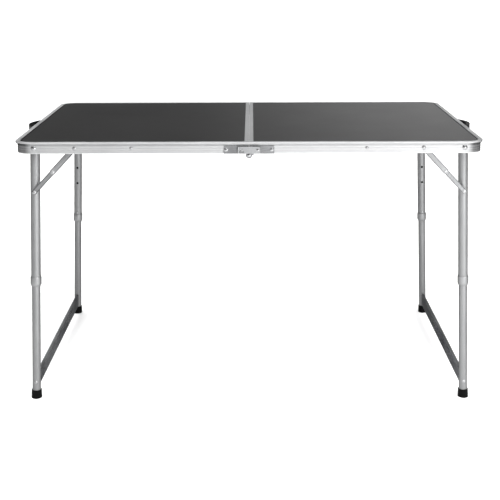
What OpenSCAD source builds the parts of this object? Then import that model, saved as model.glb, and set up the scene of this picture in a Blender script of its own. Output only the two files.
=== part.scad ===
// Folding camping table. Two hinged halves stand on four telescopic legs.
// Millimetres, +Z up. The origin is on the floor under the middle of the top.
// X runs along the table, -Y is the front, and the seam between the halves is at X = 0.

/* [Top] */
// length of the open top over the lips, along X
top_l = 1200; // [1190:5:1260]
// width of the top over the lips, along Y
top_w = 700; // [640:5:740]
// height of the lip above the floor
top_z = 700; // [690:5:740]
// height of the rim rail
rail_h = 30; // [28:1:34]
// width of the lip that frames the panel
lip_w = 12; // [11:0.5:13]
// overhang of the lip past the rail face
lip_over = 5; // [4:0.5:5.5]
// outer corner radius of the lip
corner_r = 46; // [42:1:46]
// thickness of the rail web
web_t = 1.5; // [1.2:0.1:1.6]
// thickness of the top panel
panel_t = 2; // [1.6:0.1:2]
// gap between the halves at the seam
seam_gap = 0.5; // [0.5:0.1:0.8]

/* [Legs] */
// distance of the leg pivots from the middle of the table
leg_x = 547; // [543:1:547]
// drop of the leg pivots below the lip
pivot_drop = 15.8; // [15.8:0.1:16.4]
// outward slant of the open legs, in degrees
splay = 2.1; // [1.9:0.1:2.3]
// outer diameter of the upper tubes
upper_d = 25; // [24.6:0.2:25]
// outer diameter of the lower tubes
lower_d = 22; // [21.6:0.2:22]
// wall thickness of all the tubes
tube_t = 1.2; // [1:0.1:1.2]
// length of the upper tubes below the pivot
upper_l = 368; // [367:1:369]
// distance from the pivot to the snap button
button_at = 341.6; // [340:0.2:342]
// height of the foot caps
cap_h = 22; // [20:1:26]
// height of the stretcher bars
stretcher_h = 37; // [30:1:38]
// thickness of the stretcher bars
stretcher_t = 8; // [6:0.5:9]

/* [Stays] */
// distance of the stays' table pivots from the middle of the table
stay_x = 443; // [441:1:444]
// distance of the stays' leg pivots from the leg pivots, along the leg
stay_low = 116.3; // [116:0.1:116.6]
// length of the upper links between pivots
stay_upper = 85.5; // [85.2:0.1:85.8]
// width of the upper links
stay_w = 14.5; // [13:0.5:14.5]

/* [Handles] */
// reach of the handles past the rail face
handle_out = 36; // [34:1:40]
// outer radius of the handle arch
handle_r = 94; // [88:1:100]
// height of the handle band
handle_h = 13.5; // [12:0.5:15]
// thickness of the grip
handle_t = 10.5; // [9:0.5:12]

/* [Hidden] */

$fn = 64;
half_l = top_l / 2;
half_w = top_w / 2;
gap = seam_gap / 2;
eps = 0.05;
fit = 0.1;
rib = 0.5;
face_y = half_w - lip_over;
inner_y = face_y - web_t;
rail_bottom = top_z - rail_h;
lip_h = 5;
lip_inner = half_w - lip_w;
under_lip = top_z - lip_h - eps;
panel_top = top_z - 0.8;
ledge_z = panel_top - panel_t;
ledge_t = 1.7;
ledge_in = 9.5;
seam_rail_w = 11;
seam_rail_h = 24;
block_l = 70;
block_t = 9;
pivot_z = top_z - pivot_drop;
// distance of the leg axes from the centre line
leg_y = inner_y - 21.5;
pin_r = 3;
stay_pin_r = 2.5;
upper_r = upper_d / 2;
lower_r = lower_d / 2;
slant = cos(splay);
foot_d = pivot_z / slant;
lower_top = 262;
collar_r = 14.3;
collar_top = 345.3;
collar_bottom = 371.8;
hole_r = 3.5;
button_r = 3.2;
hole_steps = [100, 150];
stretcher_z = 46;
cap_r = 13.2;
cap_foot_r = 14;
link_t = 1.8;
// distances of the link planes from the centre line
upper_plane = inner_y - 3.5;
lower_plane = inner_y - 7.1;
stay_low_x = leg_x + stay_low * sin(splay);
stay_low_z = pivot_z - stay_low * slant;
stay_angle = atan2(pivot_z - stay_low_z, stay_low_x - stay_x);
stay_lower_w = 12.5;
knee_x = stay_x + stay_upper * cos(stay_angle);
knee_z = pivot_z - stay_upper * sin(stay_angle);
clip_x = 299;
clip_h = 25;
clip_w = 20;
hinge_z = rail_bottom - 4;
ear_r = 8.2;
plate_y = face_y + 0.9;
plate_t = 1.5;
plate_l = 64;
plate_rivet_x = 58;
plate_low = rail_bottom - 0.5;
plate_high = top_z - 10;
ear_y = plate_y + plate_t + 0.3;
lever_y = half_w + 1.4;
lever_t = 1.6;
lever_x = 22.5;
lever_z = top_z - 20;
catch_x = -17.3;
catch_r = 2;
handle_z = top_z - 16.2;
screw_y = 65;
dark = [0.03, 0.03, 0.032];
alu = [0.80, 0.81, 0.82];
steel = [0.62, 0.63, 0.65];
black = [0.10, 0.10, 0.105];

// helpers

module left() {
    mirror([1, 0, 0]) children();
}

module both() {
    children();
    mirror([0, 1, 0]) children();
}

// rod along +Y from y0 to y1
module y_rod(x, z, y0, y1, r) {
    translate([x, y0, z]) rotate([-90, 0, 0]) cylinder(r = r, h = y1 - y0);
}

// domed head on the plane y, bulging towards +Y, or -Y when back is true
module y_head(x, z, y, r, h, back = false) {
    ball = (r * r + h * h) / (2 * h);
    translate([x, y, z]) rotate([back ? 90 : -90, 0, 0]) intersection() {
        cylinder(r = r, h = h);
        translate([0, 0, h - ball]) sphere(r = ball);
    }
}

// frame of the right leg: the pivot is at the origin and the leg runs along -Z
module on_leg() {
    translate([leg_x, 0, pivot_z]) rotate([0, -splay, 0]) children();
}

module ring(r_out, r_in, h) {
    difference() {
        cylinder(r = r_out, h = h);
        translate([0, 0, -1]) cylinder(r = r_in, h = h + 2);
    }
}

// table half, drawn for the right side

module rail_section() {
    low = rail_bottom;
    c = 1.2;
    lip_z = top_z - lip_h;
    polygon([
        [-lip_w, lip_z], [0, lip_z], [0, top_z - c], [-c, top_z],
        [-lip_w + c, top_z], [-lip_w, top_z - c]
    ]);
    translate([-lip_over - web_t, low]) square([web_t, rail_h - lip_h + 1]);
    translate([-lip_over - ledge_in, ledge_z - ledge_t]) square([ledge_in, ledge_t]);
    translate([-lip_over - eps, low]) square([rib + eps, 2]);
    for (k = [1:3])
        translate([-lip_over - eps, low + 1.5 + 6 * k]) square([rib + eps, 1]);
}

module rail_holes() {
    y_rod(leg_x, pivot_z, inner_y - 1, face_y + 1, pin_r + eps);
    y_rod(stay_x, pivot_z, inner_y - 1, face_y + 1, stay_pin_r + eps);
    y_rod(clip_x, pivot_z, inner_y - 1, face_y + 1, stay_pin_r + eps);
    y_rod(plate_rivet_x, lever_z, inner_y - 1, face_y + 1, stay_pin_r + eps);
    y_rod(lever_x, lever_z, inner_y - 1, face_y + 1, stay_pin_r + eps);
}

module rim_rail() {
    straight = half_l - corner_r;
    side_l = half_w - corner_r;
    difference() {
        union() {
            both() translate([gap, half_w, 0]) rotate([90, 0, 90])
                linear_extrude(straight - gap) rail_section();
            translate([half_l, side_l, 0]) rotate([90, 0, 0])
                linear_extrude(2 * side_l) rail_section();
            both() translate([straight, side_l, 0])
                rotate_extrude(angle = 90) translate([corner_r, 0]) rail_section();
        }
        both() rail_holes();
        for (s = [-1, 1])
            translate([half_l - lip_over - web_t - 1, s * screw_y, handle_z])
                rotate([0, 90, 0]) cylinder(r = 2.05, h = web_t + 3);
    }
}

module top_panel() {
    x0 = gap + seam_rail_w + fit;
    edge = half_l - lip_w - fit;
    side = lip_inner - fit;
    round_r = corner_r - lip_w - fit;
    straight = half_l - corner_r;
    translate([0, 0, ledge_z]) linear_extrude(panel_t) {
        translate([x0, -side]) square([straight - x0, 2 * side]);
        translate([straight - 1, corner_r - half_w]) square([edge - straight + 1, 2 * (half_w - corner_r)]);
        for (s = [-1, 1])
            translate([straight, s * (half_w - corner_r)]) circle(r = round_r);
    }
}

module seam_rail() {
    y0 = face_y - ledge_in - fit;
    y1 = lip_inner - fit;
    low = top_z - seam_rail_h;
    over = ledge_z + eps;
    translate([0, y0, 0]) rotate([90, 0, 0]) linear_extrude(2 * y0) {
        translate([gap, top_z - lip_h]) square([seam_rail_w, lip_h]);
        translate([gap, low]) square([web_t, seam_rail_h - lip_h + 1]);
        translate([gap, ledge_z - ledge_t]) square([seam_rail_w + 2.5, ledge_t]);
    }
    translate([gap, -y1, over]) cube([seam_rail_w, 2 * y1, top_z - over]);
}

module seam_block() {
    x0 = gap + web_t + fit;
    z0 = rail_bottom + 3;
    difference() {
        translate([x0, inner_y - block_t, z0])
            cube([block_l - x0, block_t - eps, under_lip - z0]);
        for (x = [lever_x, plate_rivet_x])
            y_rod(x, lever_z, inner_y - block_t - 1, inner_y + 1, stay_pin_r + eps);
        translate([35, inner_y - block_t - 1, z0 - 1]) cube([12, block_t + 2, 12]);
    }
}

module handle_band() {
    centre = handle_out - handle_r;
    foot = 3;
    difference() {
        union() {
            translate([centre, 0]) circle(r = handle_r, $fn = 160);
            translate([0, -screw_y - 14]) square([foot, 2 * screw_y + 28]);
        }
        translate([centre, 0]) circle(r = handle_r - handle_t, $fn = 160);
        translate([centre - handle_r - 1, -handle_r - 1]) square([handle_r - centre + 1, 2 * handle_r + 2]);
        translate([-1, -screw_y + 9]) square([foot + 1, 2 * screw_y - 18]);
    }
}

module handle() {
    x0 = half_l - lip_over + rib + eps;
    difference() {
        translate([x0, 0, handle_z - handle_h / 2]) linear_extrude(handle_h) handle_band();
        for (s = [-1, 1])
            translate([x0 - 1, s * screw_y, handle_z]) rotate([0, 90, 0]) cylinder(r = 2.05, h = 8);
    }
}

// self-tapping screws from inside the rail into the handle's feet
module handle_screws() {
    x_in = half_l - lip_over - web_t;
    for (s = [-1, 1]) translate([x_in, s * screw_y, handle_z]) rotate([0, 90, 0]) {
        cylinder(r = 2, h = 8.5);
        translate([0, 0, -2]) difference() {
            cylinder(r = 4, h = 2 - eps);
            translate([-3, -0.5, -1]) cube([6, 1, 1.8]);
            translate([-0.5, -3, -1]) cube([1, 6, 1.8]);
        }
    }
}

// hinge and latch hardware at the seam

module plate_body(x0) {
    difference() {
        translate([x0, plate_y, plate_low]) cube([plate_l - x0, plate_t, plate_high - plate_low]);
        for (x = [lever_x, plate_rivet_x])
            y_rod(x, lever_z, plate_y - 1, plate_y + plate_t + 1, stay_pin_r + eps);
    }
}

module inner_ear_plate() {
    difference() {
        union() {
            plate_body(1);
            y_rod(0, hinge_z, plate_y, plate_y + plate_t, ear_r);
        }
        y_rod(0, hinge_z, plate_y - 1, plate_y + plate_t + 1, pin_r + eps);
    }
}

module outer_ear_plate() {
    step_x = ear_r + 1;
    difference() {
        union() {
            plate_body(step_x);
            translate([step_x, plate_y, plate_low]) cube([3, ear_y + plate_t - plate_y, 12]);
            translate([0, ear_y, hinge_z]) cube([step_x + 3, plate_t, ear_r]);
            y_rod(0, hinge_z, ear_y, ear_y + plate_t, ear_r);
        }
        y_rod(0, hinge_z, ear_y - 1, ear_y + plate_t + 1, pin_r + fit);
    }
}

module plate_rivet(x) {
    y_rod(x, lever_z, inner_y - block_t + 0.5, plate_y + plate_t + eps, stay_pin_r);
    y_head(x, lever_z, plate_y + plate_t + eps, 5, 1.6);
}

module plate_rivets_half() {
    both() plate_rivet(plate_rivet_x);
}

module hinge_pin() {
    y_rod(0, hinge_z, plate_y, ear_y + plate_t + 0.3, pin_r);
    y_head(0, hinge_z, ear_y + plate_t + 0.3, 5, 1.4);
}

// catch pin for the latch, on the left half
module latch_catch() {
    y_rod(catch_x, lever_z, plate_y + plate_t + eps, lever_y + lever_t + 0.3, catch_r);
    y_rod(catch_x, lever_z, plate_y + plate_t + eps, lever_y - 1, 3.6);
}

// face of the latch lever, with the catch notch open downwards
module lever_face() {
    low = -9.7;
    high = 9;
    body_l = -13;
    arm_l = -27;
    round_r = 6;
    slot_l = catch_r + 2.8;
    slot_r = catch_r + 0.4;
    difference() {
        union() {
            translate([body_l, low]) square([lever_x - body_l, high - low]);
            translate([lever_x, low + round_r]) square([round_r, high - low - 2 * round_r]);
            for (z = [low + round_r, high - round_r])
                translate([lever_x, z]) circle(r = round_r);
            translate([arm_l, -2.5]) square([body_l - arm_l + 1, high + 2.5]);
        }
        translate([catch_x - slot_l, -3]) square([slot_l + slot_r, 3 + slot_r]);
        translate([lever_x, 0]) circle(r = stay_pin_r + fit);
    }
}

module latch_lever() {
    curl_r = 2.1;
    translate([0, lever_y + lever_t, lever_z]) rotate([90, 0, 0])
        linear_extrude(lever_t) lever_face();
    translate([-27, lever_y + curl_r, lever_z - 9])
        cylinder(r = curl_r, h = 18);
}

module latch_pin() {
    y_rod(lever_x, lever_z, inner_y - block_t + 0.5, lever_y + lever_t + 0.3, stay_pin_r);
    difference() {
        y_rod(lever_x, lever_z, plate_y + plate_t + eps, lever_y - 0.3, 4.5);
        y_rod(lever_x, lever_z, plate_y, lever_y, stay_pin_r - eps);
    }
    y_head(lever_x, lever_z, lever_y + lever_t + 0.3, 4.5, 1.4);
}

// leg and stay pivots on the rail

module leg_clip() {
    y0 = leg_y - upper_r;
    y1 = leg_y + upper_r;
    z1 = under_lip;
    z0 = z1 - clip_h + 2;
    mouth = leg_x - clip_x;
    top = pivot_z - mouth * tan(splay) + upper_r + 1.6;
    difference() {
        translate([clip_x - clip_w / 2, y0 - 2.6, z0]) cube([clip_w, inner_y - eps - y0 + 2.6, z1 - z0]);
        translate([clip_x - clip_w, y0 - 0.4, z0 - 1]) cube([2 * clip_w, y1 - y0 + 0.8, top - z0 + 1]);
        y_rod(clip_x, pivot_z, y1 - 3, inner_y + 1, stay_pin_r + eps);
    }
}

module clip_rivet() {
    y_rod(clip_x, pivot_z, leg_y + upper_r + 1, face_y + rib + eps, stay_pin_r);
    y_head(clip_x, pivot_z, face_y + rib + eps, 4.3, 1.5);
}

module leg_pivot() {
    inner = leg_y - upper_r - 0.3;
    y_rod(leg_x, pivot_z, inner - eps, face_y + rib + eps, pin_r);
    y_head(leg_x, pivot_z, face_y + rib + eps, 6.7, 2.4);
    y_head(leg_x, pivot_z, inner, 5.5, 1.8, true);
}

module pivot_bush() {
    y0 = leg_y + upper_r + 0.3;
    difference() {
        y_rod(leg_x, pivot_z, y0, inner_y - eps, 6);
        y_rod(leg_x, pivot_z, y0 - 1, inner_y + 1, pin_r + eps);
    }
}

module stay_pivot() {
    y_rod(stay_x, pivot_z, upper_plane - 0.35, face_y + rib + eps, stay_pin_r);
    y_head(stay_x, pivot_z, face_y + rib + eps, 5.2, 1.8);
    y_head(stay_x, pivot_z, upper_plane - 0.3, 4.3, 1.1, true);
    difference() {
        y_rod(stay_x, pivot_z, upper_plane + link_t + 0.3, inner_y - eps, 5);
        y_rod(stay_x, pivot_z, upper_plane, inner_y + 1, stay_pin_r - eps);
    }
}

// telescopic legs: Y positive is the back leg, and both() adds the front leg

module upper_tube() {
    translate([0, leg_y, 0]) difference() {
        union() {
            translate([0, 0, -upper_l]) cylinder(r = upper_r, h = upper_l);
            intersection() {
                translate([0, 0, -1]) cylinder(r = upper_r, h = upper_r + 2);
                y_rod(0, 0, -upper_r - 1, upper_r + 1, upper_r);
            }
        }
        translate([0, 0, -upper_l - 1]) cylinder(r = upper_r - tube_t, h = 2 * upper_l);
        y_rod(0, 0, -upper_r - 1, upper_r + 1, pin_r + fit);
        y_rod(0, -stay_low, 0, upper_r + 1, stay_pin_r + eps);
        y_rod(0, -button_at, -upper_r - 1, 0, hole_r);
        for (s = hole_steps)
            y_rod(0, -button_at + s, -upper_r - 1, 0, hole_r);
    }
}

// swaged ring that closes the end of the upper tube
module collar() {
    h = collar_bottom - collar_top;
    lip = collar_bottom - upper_l - eps;
    low_taper = 6;
    top_taper = 3.5;
    translate([0, leg_y, -collar_bottom]) difference() {
        union() {
            cylinder(r1 = lower_r + 1, r2 = collar_r, h = low_taper);
            translate([0, 0, low_taper]) cylinder(r = collar_r, h = h - low_taper - top_taper);
            translate([0, 0, h - top_taper])
                cylinder(r1 = collar_r, r2 = upper_r + 0.5, h = top_taper);
        }
        translate([0, 0, lip]) cylinder(r = upper_r + eps, h = h);
        translate([0, 0, -1]) cylinder(r = lower_r + 0.3, h = h);
    }
}

module lower_tube() {
    low = foot_d - 6;
    translate([0, leg_y, 0]) difference() {
        translate([0, 0, -low]) cylinder(r = lower_r, h = low - lower_top);
        translate([0, 0, -low - 1]) cylinder(r = lower_r - tube_t, h = low);
        y_rod(0, -button_at, -lower_r - 1, 0, button_r + fit);
        y_rod(0, -(pivot_z - stretcher_z) / slant, -lower_r - 1, lower_r + 1, 2.5 + eps);
    }
}

module stretcher() {
    d = (pivot_z - stretcher_z) / slant;
    reach = leg_y - lower_r + 2;
    difference() {
        translate([-stretcher_t / 2, -reach, -d - stretcher_h / 2])
            cube([stretcher_t, 2 * reach, stretcher_h]);
        both() {
            translate([0, leg_y, -foot_d]) cylinder(r = lower_r + eps, h = 100);
            y_rod(0, -d, reach - 16, reach + 1, 2.5 + eps);
        }
    }
}

module stretcher_screw() {
    d = (pivot_z - stretcher_z) / slant;
    outer = leg_y + lower_r + eps;
    y_rod(0, -d, leg_y - lower_r - 12, outer, 2.5);
    y_head(0, -d, outer, 4.6, 1.8);
}

module foot_cap() {
    inside = foot_d - 6;
    difference() {
        on_leg() translate([0, leg_y, -foot_d - 5]) {
            translate([0, 0, 3]) cylinder(r1 = cap_foot_r, r2 = cap_r, h = cap_h + 2);
            cylinder(r = cap_foot_r, h = 3);
            translate([0, 0, cap_h + 5]) cylinder(r1 = cap_r, r2 = cap_r - 0.8, h = 0.8);
        }
        on_leg() translate([0, leg_y, -inside - eps]) cylinder(r = lower_r + eps, h = 60);
        translate([leg_x - 100, 0, -20]) cube([250, half_w, 20]);
    }
}

// V spring inside the lower tube, which carries the snap button
module spring_clip() {
    arm = 8.2;
    t = 0.8;
    wide = 8;
    low = -button_at - 34;
    translate([-wide / 2, leg_y, 0]) {
        translate([0, arm - t / 2, low]) cube([wide, t, 44]);
        translate([0, -arm - t / 2, low]) cube([wide, t, 44]);
        difference() {
            translate([0, 0, low]) rotate([0, 90, 0]) ring(arm + t / 2, arm - t / 2, wide);
            translate([-1, -arm - 1, low]) cube([wide + 2, 2 * arm + 2, arm + 1]);
        }
    }
}

module snap_button() {
    base = -8.65;
    tip = -upper_r - 1.1;
    translate([0, leg_y, -button_at]) {
        y_rod(0, 0, tip, base, button_r);
        y_head(0, 0, tip, button_r, 1, true);
    }
}

// folding stays

module link(x0, z0, x1, z1, y0, w, r_a, r_b) {
    length = norm([x1 - x0, z1 - z0]);
    tilt = atan2(z0 - z1, x1 - x0);
    translate([x0, y0, z0]) rotate([0, tilt, 0]) difference() {
        union() {
            y_rod(0, 0, 0, link_t, w / 2);
            y_rod(length, 0, 0, link_t, w / 2);
            translate([0, 0, -w / 2]) cube([length, link_t, w]);
            translate([12, link_t - eps, -1.6]) cube([length - 24, 0.45 + eps, 3.2]);
        }
        y_rod(0, 0, -1, link_t + 1, r_a);
        y_rod(length, 0, -1, link_t + 1, r_b);
    }
}

module upper_stay() {
    link(stay_x, pivot_z, knee_x, knee_z, upper_plane, stay_w, stay_pin_r + fit, stay_pin_r + eps);
}

module lower_stay() {
    link(knee_x, knee_z, stay_low_x, stay_low_z, lower_plane, stay_lower_w,
        stay_pin_r + eps, stay_pin_r + fit);
}

// outer half of the knee rivet, on the upper link
module knee_rivet() {
    y_rod(knee_x, knee_z, upper_plane - 1.2, upper_plane + link_t + eps, stay_pin_r);
    y_head(knee_x, knee_z, upper_plane + link_t + eps, 5, 1.2);
}

// inner half of the knee rivet, on the lower link
module knee_stub() {
    y_rod(knee_x, knee_z, lower_plane - 0.1, lower_plane + link_t, stay_pin_r);
    y_head(knee_x, knee_z, lower_plane - eps, 5, 1, true);
}

// rivet that holds the stay to the leg
module stay_rivet() {
    wall = leg_y + upper_r;
    y_rod(stay_low_x, stay_low_z, wall - tube_t, lower_plane + link_t + 0.3, stay_pin_r);
    y_head(stay_low_x, stay_low_z, lower_plane + link_t + 0.3, 4.8, 1.2);
}

module left_top_panel() { color(black) left() top_panel(); }
module right_top_panel() { color(black) top_panel(); }
module left_rim_rail() { color(alu) left() rim_rail(); }
module right_rim_rail() { color(alu) rim_rail(); }
module left_seam_rail() { color(alu) left() seam_rail(); }
module right_seam_rail() { color(alu) seam_rail(); }
module left_seam_blocks() { color(dark) left() both() seam_block(); }
module right_seam_blocks() { color(dark) both() seam_block(); }
module left_handle() { color(dark) left() handle(); }
module right_handle() { color(dark) handle(); }
module left_handle_screws() { color(steel) left() handle_screws(); }
module right_handle_screws() { color(steel) handle_screws(); }
module left_hinge_plates() { color(steel) left() both() inner_ear_plate(); }
module right_hinge_plates() { color(steel) both() outer_ear_plate(); }
module left_plate_rivets() { color(steel) left() plate_rivets_half(); }
module right_plate_rivets() { color(steel) plate_rivets_half(); }
module hinge_pins() { color(steel) both() hinge_pin(); }
module latch_catches() { color(steel) both() latch_catch(); }
module front_latch_lever() { color(steel) mirror([0, 1, 0]) latch_lever(); }
module back_latch_lever() { color(steel) latch_lever(); }
module latch_pins() { color(steel) both() latch_pin(); }
module left_leg_clips() { color(dark) left() both() leg_clip(); }
module right_leg_clips() { color(dark) both() leg_clip(); }
module left_clip_rivets() { color(steel) left() both() clip_rivet(); }
module right_clip_rivets() { color(steel) both() clip_rivet(); }
module left_leg_pivots() { color(steel) left() both() leg_pivot(); }
module right_leg_pivots() { color(steel) both() leg_pivot(); }
module left_pivot_bushes() { color(dark) left() both() pivot_bush(); }
module right_pivot_bushes() { color(dark) both() pivot_bush(); }
module left_stay_pivots() { color(steel) left() both() stay_pivot(); }
module right_stay_pivots() { color(steel) both() stay_pivot(); }
module left_upper_tubes() { color(alu) left() both() on_leg() upper_tube(); }
module right_upper_tubes() { color(alu) both() on_leg() upper_tube(); }
module left_collars() { color(alu) left() both() on_leg() collar(); }
module right_collars() { color(alu) both() on_leg() collar(); }
module left_lower_tubes() { color(alu) left() both() on_leg() lower_tube(); }
module right_lower_tubes() { color(alu) both() on_leg() lower_tube(); }
module left_stretcher() { color(alu) left() on_leg() stretcher(); }
module right_stretcher() { color(alu) on_leg() stretcher(); }
module left_stretcher_screws() { color(steel) left() both() on_leg() stretcher_screw(); }
module right_stretcher_screws() { color(steel) both() on_leg() stretcher_screw(); }
module left_foot_caps() { color(dark) left() both() foot_cap(); }
module right_foot_caps() { color(dark) both() foot_cap(); }
module left_spring_clips() { color(steel) left() both() on_leg() spring_clip(); }
module right_spring_clips() { color(steel) both() on_leg() spring_clip(); }
module left_front_button() { color(steel) left() mirror([0, 1, 0]) on_leg() snap_button(); }
module left_back_button() { color(steel) left() on_leg() snap_button(); }
module right_front_button() { color(steel) mirror([0, 1, 0]) on_leg() snap_button(); }
module right_back_button() { color(steel) on_leg() snap_button(); }
module left_upper_stays() { color(steel) left() both() upper_stay(); }
module right_upper_stays() { color(steel) both() upper_stay(); }
module left_knee_rivets() { color(steel) left() both() knee_rivet(); }
module right_knee_rivets() { color(steel) both() knee_rivet(); }
module left_lower_stays() { color(steel) left() both() { lower_stay(); knee_stub(); } }
module right_lower_stays() { color(steel) both() { lower_stay(); knee_stub(); } }
module left_stay_rivets() { color(steel) left() both() stay_rivet(); }
module right_stay_rivets() { color(steel) both() stay_rivet(); }

left_top_panel();
right_top_panel();
left_rim_rail();
right_rim_rail();
left_seam_rail();
right_seam_rail();
left_seam_blocks();
right_seam_blocks();
left_handle();
right_handle();
left_handle_screws();
right_handle_screws();
left_hinge_plates();
right_hinge_plates();
left_plate_rivets();
right_plate_rivets();
hinge_pins();
latch_catches();
front_latch_lever();
back_latch_lever();
latch_pins();
left_leg_clips();
right_leg_clips();
left_clip_rivets();
right_clip_rivets();
left_leg_pivots();
right_leg_pivots();
left_pivot_bushes();
right_pivot_bushes();
left_stay_pivots();
right_stay_pivots();
left_upper_tubes();
right_upper_tubes();
left_collars();
right_collars();
left_lower_tubes();
right_lower_tubes();
left_stretcher();
right_stretcher();
left_stretcher_screws();
right_stretcher_screws();
left_foot_caps();
right_foot_caps();
left_spring_clips();
right_spring_clips();
left_front_button();
left_back_button();
right_front_button();
right_back_button();
left_upper_stays();
right_upper_stays();
left_knee_rivets();
right_knee_rivets();
left_lower_stays();
right_lower_stays();
left_stay_rivets();
right_stay_rivets();
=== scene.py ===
import math
from functools import partial

import bpy
from mathutils import Matrix, Vector

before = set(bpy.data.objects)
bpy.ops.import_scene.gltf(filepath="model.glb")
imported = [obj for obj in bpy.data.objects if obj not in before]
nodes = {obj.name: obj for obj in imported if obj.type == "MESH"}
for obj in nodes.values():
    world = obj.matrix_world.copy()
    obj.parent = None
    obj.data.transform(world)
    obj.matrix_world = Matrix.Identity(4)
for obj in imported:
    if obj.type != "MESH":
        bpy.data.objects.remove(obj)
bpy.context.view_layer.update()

# ---------------------------------------------------------------- places on the table, in metres

# Heights on the rim, and how far its colour is scaled there: painted shade in the crease under the lip
# and between the ribs, painted highlight at the bottom edge and the lip.
RAIL_LOW = 0.6695
RAIL_HIGH = 0.7005
RAIL_LIGHT_AND_SHADE = (
    (0.6700, 1.30), (0.6722, 1.25), (0.6728, 0.80), (0.6742, 0.98), (0.6762, 1.02), (0.6768, 0.84),
    (0.6785, 1.00), (0.6822, 1.02), (0.6828, 0.84), (0.6845, 1.00), (0.6882, 1.02), (0.6888, 0.88),
    (0.6898, 0.96), (0.6905, 0.80), (0.6958, 0.76), (0.6966, 1.00), (0.6990, 1.05), (0.6998, 1.05),
)

# Where the rim turns a corner below the lip, as start and end along X and Y, and the tone of the painted
# dark reflection in the bend.
BEND_OUT = (0.553, 0.569)
BEND_SIDE = (0.309, 0.324)
BEND_SHADE = 0.46
BEND_RIBS = 3.0
LIP_LOW = 0.6962

# The painted shade in the gap between the panel and the lip: corner centre, start and end beyond it, and
# tone.
GAP_CENTRE = {"X": 0.554, "Y": 0.304}
GAP_EDGE = (0.0298, 0.0308)
GAP_SHADE = 0.05

# The leg tubes lean outward from their pivots. BORE lies within the upper tube's wall, and inside it the
# tube gets painted shade.
SLANT = math.radians(2.1)
LEG_OUT = 0.547
LEG_SIDE = 0.322
LEG_PIVOT = 0.6842
BORE = 0.0119
BORE_SHADE = 0.03

# The stays run straight from their table pivots to the legs, with painted shade on their folded edges.
STAY_PIVOT = (0.443, 0.6842)
STAY_RUN = (0.6816, -0.7317)
STAY_FOLD = (0.0030, 0.0016)
STAY_FOLD_SHADE = 0.45
UPPER_STAY_HALF = 0.00725
LOWER_STAY_HALF = 0.00625

# ---------------------------------------------------------------- material helpers

# The part of a noise's range that a spread or a tint covers.
SPREAD_RANGE = (0.35, 0.65)
TINT_RANGE = (0.3, 0.7)
NO_TURN = (0, 0, 0)
EVEN = (1, 1, 1)


def new_material(name):
    mat = bpy.data.materials.new(name)
    mat.use_nodes = True
    tree = mat.node_tree
    tree.nodes.clear()
    out = tree.nodes.new("ShaderNodeOutputMaterial")
    shader = tree.nodes.new("ShaderNodeBsdfPrincipled")
    tree.links.new(shader.outputs[0], out.inputs[0])
    return mat, tree, shader


def noise(tree, scale, stretch=EVEN, detail=3.0, rough=0.5, turn=NO_TURN):
    """Noise in the piece's own coordinates, stretched along its axes."""
    coord = tree.nodes.new("ShaderNodeTexCoord")
    mapping = tree.nodes.new("ShaderNodeMapping")
    mapping.vector_type = "TEXTURE"
    mapping.inputs["Rotation"].default_value = turn
    mapping.inputs["Scale"].default_value = stretch
    tex = tree.nodes.new("ShaderNodeTexNoise")
    tex.inputs["Scale"].default_value = scale
    tex.inputs["Detail"].default_value = detail
    tex.inputs["Roughness"].default_value = rough
    tree.links.new(coord.outputs["Object"], mapping.inputs["Vector"])
    tree.links.new(mapping.outputs[0], tex.inputs["Vector"])
    return tex.outputs["Fac"]


def place_on_piece(tree):
    """The X, Y and Z of a point on the piece. At rest they are the table's own."""
    coord = tree.nodes.new("ShaderNodeTexCoord")
    split = tree.nodes.new("ShaderNodeSeparateXYZ")
    tree.links.new(coord.outputs["Object"], split.inputs[0])
    return split.outputs


def maths(tree, operation, first, second=0.0):
    """One maths node. Each side is a number or another node's output."""
    node = tree.nodes.new("ShaderNodeMath")
    node.operation = operation
    for socket, value in zip(node.inputs, (first, second)):
        if isinstance(value, float):
            socket.default_value = value
        else:
            tree.links.new(value, socket)
    return node.outputs[0]


def spread(tree, source, low, high, start=SPREAD_RANGE[0], end=SPREAD_RANGE[1]):
    """Maps start to end of the source onto low to high and holds the ends."""
    node = tree.nodes.new("ShaderNodeMapRange")
    node.inputs["From Min"].default_value = start
    node.inputs["From Max"].default_value = end
    node.inputs["To Min"].default_value = low
    node.inputs["To Max"].default_value = high
    tree.links.new(source, node.inputs["Value"])
    return node.outputs[0]


def tint(tree, source, dark, light):
    """Colours a noise from dark to light."""
    ramp = tree.nodes.new("ShaderNodeValToRGB")
    for stop, position, colour in zip(ramp.color_ramp.elements, TINT_RANGE, (dark, light)):
        stop.position = position
        stop.color = (*colour, 1)
    tree.links.new(source, ramp.inputs[0])
    return ramp.outputs[0]


def scaled(tree, colour, factor):
    node = tree.nodes.new("ShaderNodeVectorMath")
    node.operation = "SCALE"
    tree.links.new(colour, node.inputs[0])
    tree.links.new(factor, node.inputs["Scale"])
    return node.outputs[0]


def bump(tree, shader, source, strength, distance):
    node = tree.nodes.new("ShaderNodeBump")
    node.inputs["Strength"].default_value = strength
    node.inputs["Distance"].default_value = distance
    tree.links.new(source, node.inputs["Height"])
    tree.links.new(node.outputs[0], shader.inputs["Normal"])


# ---------------------------------------------------------------- shading by place


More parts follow.
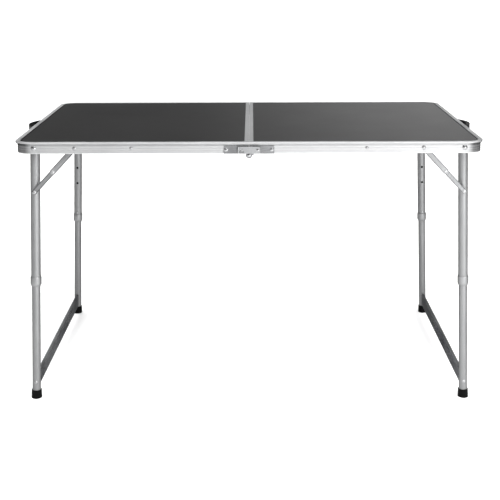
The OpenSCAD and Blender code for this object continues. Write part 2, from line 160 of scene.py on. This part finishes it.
def rib_tone(tree, height):
    """The factor of RAIL_LIGHT_AND_SHADE at a height, from a curve that holds half of it."""
    place = tree.nodes.new("ShaderNodeMapRange")
    place.inputs["From Min"].default_value = RAIL_LOW
    place.inputs["From Max"].default_value = RAIL_HIGH
    tree.links.new(height, place.inputs["Value"])
    curve = tree.nodes.new("ShaderNodeFloatCurve")
    points = curve.mapping.curves[0].points
    for level, factor in RAIL_LIGHT_AND_SHADE[1:-1]:
        points.new((level - RAIL_LOW) / (RAIL_HIGH - RAIL_LOW), factor / 2)
    points[0].location = (0, RAIL_LIGHT_AND_SHADE[0][1] / 2)
    points[-1].location = (1, RAIL_LIGHT_AND_SHADE[-1][1] / 2)
    for point in points:
        point.handle_type = "VECTOR"
    curve.mapping.update()
    tree.links.new(place.outputs[0], curve.inputs["Value"])
    return maths(tree, "MULTIPLY", curve.outputs[0], 2.0)


def rim_shade(tree, colour):
    """Paints shade into the rim's crease and ribs and highlight on its bottom edge and lip, and paints a
    darker reflection below the lip where it turns a corner.
    """
    place = place_on_piece(tree)
    straight = rib_tone(tree, place["Z"])
    bent = maths(tree, "MULTIPLY", maths(tree, "POWER", straight, BEND_RIBS), BEND_SHADE)
    out = spread(tree, maths(tree, "ABSOLUTE", place["X"]), 0.0, 1.0, *BEND_OUT)
    side = spread(tree, maths(tree, "ABSOLUTE", place["Y"]), 0.0, 1.0, *BEND_SIDE)
    below = maths(tree, "LESS_THAN", place["Z"], LIP_LOW)
    bend = maths(tree, "MULTIPLY", maths(tree, "MULTIPLY", out, side), below)
    change = maths(tree, "MULTIPLY", maths(tree, "SUBTRACT", bent, straight), bend)
    return scaled(tree, colour, maths(tree, "ADD", straight, change))


def painted_bore_shade(tree, colour):
    """Paints shade on the inside wall of a leg tube, found by its distance from the leg's leaning axis.
    """
    place = place_on_piece(tree)
    lean = maths(tree, "MULTIPLY", place["Z"], math.tan(SLANT))
    out = maths(tree, "ADD", maths(tree, "ABSOLUTE", place["X"]), lean)
    across = maths(tree, "SUBTRACT", out, LEG_OUT + LEG_PIVOT * math.tan(SLANT))
    along = maths(tree, "SUBTRACT", maths(tree, "ABSOLUTE", place["Y"]), LEG_SIDE)
    square = maths(tree, "ADD", maths(tree, "POWER", across, 2.0), maths(tree, "POWER", along, 2.0))
    open_air = maths(tree, "GREATER_THAN", maths(tree, "SQRT", square), BORE)
    return scaled(tree, colour, maths(tree, "MAXIMUM", open_air, BORE_SHADE))


def painted_fold_shade(tree, colour, half_width):
    """Paints shade on the folded edges of a stay, found by their distance from its middle line."""
    place = place_on_piece(tree)
    out = maths(tree, "SUBTRACT", maths(tree, "ABSOLUTE", place["X"]), STAY_PIVOT[0])
    rise = maths(tree, "SUBTRACT", place["Z"], STAY_PIVOT[1])
    sideways = maths(tree, "MULTIPLY", out, -STAY_RUN[1])
    upward = maths(tree, "MULTIPLY", rise, STAY_RUN[0])
    distance = maths(tree, "ABSOLUTE", maths(tree, "ADD", sideways, upward))
    start = half_width - STAY_FOLD[0]
    end = half_width - STAY_FOLD[1]
    return scaled(tree, colour, spread(tree, distance, 1.0, STAY_FOLD_SHADE, start, end))


def painted_gap_shade(tree):
    """A factor that is 1 on the panel and falls in the gap along the lip, on a rounded rectangle: painted
    shade.
    """
    place = place_on_piece(tree)
    squares = []
    for axis, centre in GAP_CENTRE.items():
        out = maths(tree, "SUBTRACT", maths(tree, "ABSOLUTE", place[axis]), centre)
        squares.append(maths(tree, "POWER", maths(tree, "MAXIMUM", out), 2.0))
    reach = maths(tree, "SQRT", maths(tree, "ADD", *squares))
    return spread(tree, reach, 1.0, GAP_SHADE, *GAP_EDGE)


# ---------------------------------------------------------------- kinds of material

# Reflection of bare metal at a glancing angle.
METAL_EDGE = (0.06, 0.06, 0.065)


def metal(name, dark, light, rough, grain, relief, stretch=EVEN, turn=NO_TURN, shading=None):
    """Metal with fine lines or grain and faint handling marks."""
    mat, tree, shader = new_material(name)
    lines = noise(tree, grain, stretch, detail=4.0, rough=0.6, turn=turn)
    marks = noise(tree, 9.0, detail=5.0, rough=0.62)
    colour = tint(tree, marks, dark, light)
    if shading:
        colour = shading(tree, colour)
    tree.links.new(colour, shader.inputs["Base Color"])
    line_rough = spread(tree, lines, rough - 0.06, rough + 0.06)
    mark_rough = spread(tree, marks, -0.04, 0.06)
    tree.links.new(maths(tree, "ADD", line_rough, mark_rough), shader.inputs["Roughness"])
    shader.inputs["Metallic"].default_value = 1.0
    shader.inputs["Specular Tint"].default_value = (*METAL_EDGE, 1)
    bump(tree, shader, lines, 0.25, relief)
    return mat


def aluminium(name, dark, light, rough, stretch=EVEN, turn=NO_TURN, shading=None):
    """Drawn aluminium, its lines stretched along the piece."""
    return metal(name, dark, light, rough, 420.0, 0.00004, stretch, turn, shading)


def steel(name, dark, light, rough, grain=260.0, shading=None):
    """Plated pressed steel with an even grain."""
    return metal(name, dark, light, rough, grain, 0.00003, shading=shading)


def moulded(name, dark, light, rough, grain, relief, gloss=0.5):
    """Moulded plastic or rubber with an even grain."""
    mat, tree, shader = new_material(name)
    fine = noise(tree, grain, detail=2.0)
    broad = noise(tree, 24.0, detail=4.0, rough=0.6)
    tree.links.new(tint(tree, broad, dark, light), shader.inputs["Base Color"])
    tree.links.new(spread(tree, broad, rough - 0.08, rough + 0.08), shader.inputs["Roughness"])
    shader.inputs["Metallic"].default_value = 0.0
    shader.inputs["Specular IOR Level"].default_value = gloss
    bump(tree, shader, fine, 0.35, relief)
    return mat


def sheet_coating(name):
    """Textured satin coating of the top, with painted shade in the gap along the lip."""
    mat, tree, shader = new_material(name)
    fine = noise(tree, 850.0, detail=2.0, rough=0.45)
    broad = noise(tree, 5.0, detail=4.0, rough=0.55)
    flecks = noise(tree, 420.0, detail=1.0)
    base = tint(tree, broad, (0.004, 0.004, 0.0042), (0.007, 0.007, 0.0072))
    speckle = tint(tree, flecks, (0.62, 0.62, 0.63), (1.0, 1.0, 1.0))
    mix = tree.nodes.new("ShaderNodeMix")
    mix.data_type = "RGBA"
    mix.blend_type = "MULTIPLY"
    mix.inputs["Factor"].default_value = 0.5
    tree.links.new(base, mix.inputs["A"])
    tree.links.new(speckle, mix.inputs["B"])
    # The gap factor darkens the colour and dims the reflection along the lip: painted shade.
    gap = painted_gap_shade(tree)
    tree.links.new(scaled(tree, mix.outputs["Result"], gap), shader.inputs["Base Color"])
    tree.links.new(spread(tree, broad, 0.46, 0.485), shader.inputs["Roughness"])
    shader.inputs["Metallic"].default_value = 0.0
    tree.links.new(maths(tree, "MULTIPLY", gap, 0.22), shader.inputs["Specular IOR Level"])
    bump(tree, shader, fine, 0.35, 0.00012)
    return mat


# ---------------------------------------------------------------- the materials

# How far the drawn lines are stretched along X, Y and Z.
ALONG_RAIL = (12.0, 12.0, 0.35)
ALONG_SEAM = (1.0, 40.0, 1.0)
ALONG_BAR = (1.0, 40.0, 0.6)
ALONG_LEG = (0.6, 0.6, 40.0)


def tube_aluminium(side, part):
    """Leg tube, its lines leaning with the leg. Only the upper tubes get painted shade in their bore."""
    turn = SLANT if side == "left" else -SLANT
    bore = painted_bore_shade if part == "upper" else None
    return aluminium(
        f"{side} {part} tube aluminium", (0.165, 0.167, 0.169), (0.21, 0.212, 0.214), 0.50,
        ALONG_LEG, (0, turn, 0), bore)


def stay_steel(part, dark, light, half_width):
    """Folding stay of pressed steel with painted shade on its folded edges."""
    edges = partial(painted_fold_shade, half_width=half_width)
    return steel(f"{part} stay steel", dark, light, 0.46, shading=edges)


rail_mat = aluminium(
    "rail aluminium", (0.365, 0.368, 0.371), (0.43, 0.433, 0.436), 0.56, ALONG_RAIL, shading=rim_shade)
seam_mat = aluminium("seam aluminium", (0.34, 0.343, 0.346), (0.39, 0.393, 0.396), 0.60, ALONG_SEAM)
bar_mat = aluminium("bar aluminium", (0.17, 0.173, 0.177), (0.23, 0.233, 0.237), 0.46, ALONG_BAR)
collar_mat = aluminium("collar aluminium", (0.185, 0.187, 0.189), (0.225, 0.227, 0.229), 0.48)
plate_mat = steel("plate steel", (0.12, 0.122, 0.125), (0.22, 0.223, 0.227), 0.44)
lever_mat = steel("lever steel", (0.21, 0.213, 0.217), (0.28, 0.283, 0.287), 0.40)
rivet_mat = steel("rivet steel", (0.21, 0.212, 0.215), (0.28, 0.282, 0.285), 0.28, grain=700.0)
upper_stay_mat = stay_steel("upper", (0.15, 0.152, 0.155), (0.215, 0.217, 0.22), UPPER_STAY_HALF)
# The lower stays take the same steel a little darker: painted shade.
lower_stay_mat = stay_steel("lower", (0.13, 0.132, 0.135), (0.185, 0.187, 0.19), LOWER_STAY_HALF)
top_mat = sheet_coating("top coating")
handle_mat = moulded(
    "handle plastic", (0.0015, 0.0015, 0.0018), (0.003, 0.003, 0.0033), 0.52, 1100.0, 0.00012, gloss=0.04)
nylon_mat = moulded("black nylon", (0.006, 0.006, 0.0065), (0.011, 0.011, 0.0115), 0.42, 900.0, 0.00008)
rubber_mat = moulded(
    "foot rubber", (0.0015, 0.0015, 0.0015), (0.0035, 0.0035, 0.0035), 0.6, 700.0, 0.00016, gloss=0.04)

# ---------------------------------------------------------------- CAD pieces

WELD_DISTANCE = 0.000002
BEVEL_ANGLE = math.radians(38)
NORMAL_WEIGHT = 60

# Part of the node's name, material, edge rounding and its steps. The first match counts.
LOOKS = (
    ("top_panel", top_mat, 0.0003, 2),
    ("rim_rail", rail_mat, 0.0005, 2),
    ("seam_rail", seam_mat, 0.0008, 2),
    *(
        (f"{side}_{part}_tubes", tube_aluminium(side, part), 0.0003, 2)
        for side in ("left", "right")
        for part in ("upper", "lower")
    ),
    ("collars", collar_mat, 0.0005, 2),
    ("stretcher_screws", rivet_mat, 0.0002, 2),
    ("stretcher", bar_mat, 0.0012, 3),
    ("handle_screws", rivet_mat, 0.0002, 2),
    ("handle", handle_mat, 0.0035, 4),
    ("foot_caps", rubber_mat, 0.0012, 3),
    ("blocks", nylon_mat, 0.0005, 2),
    ("bushes", nylon_mat, 0.0005, 2),
    ("leg_clips", nylon_mat, 0.0005, 2),
    ("upper_stays", upper_stay_mat, 0.0003, 2),
    ("lower_stays", lower_stay_mat, 0.0003, 2),
    ("plates", plate_mat, 0.0003, 2),
    ("catches", lever_mat, 0.0003, 2),
    ("lever", lever_mat, 0.0004, 2),
    ("", rivet_mat, 0.0002, 2),
)


def finish_piece(obj, mat, width, steps):
    """Gives a CAD piece its material, rounded edges and smooth shading."""
    obj.data.materials.clear()
    obj.data.materials.append(mat)
    weld = obj.modifiers.new("weld", "WELD")
    weld.merge_threshold = WELD_DISTANCE
    bevel = obj.modifiers.new("bevel", "BEVEL")
    bevel.width = width
    bevel.segments = steps
    bevel.limit_method = "ANGLE"
    bevel.angle_limit = BEVEL_ANGLE
    bevel.use_clamp_overlap = True
    bevel.miter_outer = "MITER_ARC"
    normals = obj.modifiers.new("normals", "WEIGHTED_NORMAL")
    normals.mode = "FACE_AREA"
    normals.weight = NORMAL_WEIGHT
    normals.keep_sharp = False


for name, obj in nodes.items():
    finish_piece(obj, *next(look[1:] for look in LOOKS if look[0] in name))

# ---------------------------------------------------------------- floor and background

FLOOR_REACH = 60.0
FLOOR_DROP = 0.0002
FLOOR_TONE = 0.93
FLOOR_ROUGHNESS = 0.9
WORLD_STRENGTH = 0.07


def pale_floor():
    """A plain flat floor just under the feet."""
    mesh = bpy.data.meshes.new("floor")
    corners = [(FLOOR_REACH * x, FLOOR_REACH * y, 0) for x, y in ((-1, -1), (1, -1), (1, 1), (-1, 1))]
    mesh.from_pydata(corners, [], [(0, 1, 2, 3)])
    obj = bpy.data.objects.new("floor", mesh)
    bpy.context.scene.collection.objects.link(obj)
    obj.location.z = -FLOOR_DROP
    mat, _, shader = new_material("pale floor")
    shader.inputs["Base Color"].default_value = (FLOOR_TONE, FLOOR_TONE, FLOOR_TONE, 1)
    shader.inputs["Roughness"].default_value = FLOOR_ROUGHNESS
    mesh.materials.append(mat)
    return obj


floor = pale_floor()

world = bpy.data.worlds.new("soft light")
bpy.context.scene.world = world
world.use_nodes = True
background = world.node_tree.nodes["Background"]
background.inputs["Color"].default_value = (1, 1, 1, 1)
background.inputs["Strength"].default_value = WORLD_STRENGTH
bpy.context.scene.view_settings.view_transform = "Standard"

# ---------------------------------------------------------------- lights


def add_light(name, kind, power):
    data = bpy.data.lights.new(name, kind)
    data.energy = power
    obj = bpy.data.objects.new(name, data)
    bpy.context.scene.collection.objects.link(obj)
    return obj


def area_light(name, place, target, size, power):
    """A glowing card at a place, facing a target."""
    obj = add_light(name, "AREA", power)
    obj.data.shape = "RECTANGLE"
    obj.data.size, obj.data.size_y = size
    obj.location = place
    obj.rotation_euler = (Vector(target) - Vector(place)).to_track_quat("-Z", "Y").to_euler()
    obj.visible_camera = False


def soft_sun(name, azimuth, elevation, spread_angle, power):
    """Even light from far away. Azimuth 0 is behind the front camera, 90 is the right."""
    obj = add_light(name, "SUN", power)
    obj.data.angle = math.radians(spread_angle)
    around = math.radians(azimuth)
    above = math.radians(elevation)
    level = math.cos(above)
    source = Vector((math.sin(around) * level, -math.cos(around) * level, math.sin(above)))
    obj.rotation_euler = source.to_track_quat("Z", "Y").to_euler()


soft_sun("overhead", 0, 88, 108, 4.2)
soft_sun("front right", 38, 42, 50, 1.2)
soft_sun("back left", 215, 62, 40, 0.5)

# These two stay below the table top, so the top never mirrors them.
area_light("low front card", (1.45, -2.6, 0.36), (0.0, -0.32, 0.40), (1.8, 0.6), 34)
area_light("front pool", (0.3, -1.3, 0.66), (0.3, -1.3, 0), (2.0, 1.8), 30)

# A row of cards behind the table, brighter to the right, which the top mirrors.
CARD_COUNT = 6
CARD_WIDTH = 0.5
CARD_HEIGHT = 0.8
CARD_START = -0.35
CARD_BACK = 6.0
CARD_MIDDLE = 1.1
FIRST_POWER = 0.5
POWER_STEP = 2.1
for number in range(CARD_COUNT):
    across = CARD_START + CARD_WIDTH * number
    place = (across, CARD_BACK, CARD_MIDDLE)
    target = (across, 0, CARD_MIDDLE)
    power = FIRST_POWER + POWER_STEP * number
    area_light(f"back right card {number}", place, target, (CARD_WIDTH, CARD_HEIGHT), power)

# ---------------------------------------------------------------- camera

SENSOR_MM = 36.0
LENS_MM = 71.5896
SHIFT_UP = -0.21
CLIP_END = 200.0
CAMERA_PLACE = (0.0069, -2.8182, 1.1655)
PITCH = math.radians(10.845)
YAW = math.radians(0.1)
ROLL = math.radians(-0.172)

cam_data = bpy.data.cameras.new("camera")
cam_data.sensor_width = SENSOR_MM
cam_data.lens = LENS_MM
cam_data.shift_y = SHIFT_UP
cam_data.clip_end = CLIP_END
camera = bpy.data.objects.new("camera", cam_data)
bpy.context.scene.collection.objects.link(camera)
ahead = Vector((-math.sin(YAW), math.cos(YAW), 0))
forward = math.cos(PITCH) * ahead - Vector((0, 0, math.sin(PITCH)))
level_right = Vector((math.cos(YAW), math.sin(YAW), 0))
level_up = math.sin(PITCH) * ahead + Vector((0, 0, math.cos(PITCH)))
right = math.cos(ROLL) * level_right + math.sin(ROLL) * level_up
up = math.cos(ROLL) * level_up - math.sin(ROLL) * level_right
turned = Matrix((right, up, -forward)).transposed().to_4x4()
camera.matrix_world = Matrix.Translation(CAMERA_PLACE) @ turned
bpy.context.scene.camera = camera
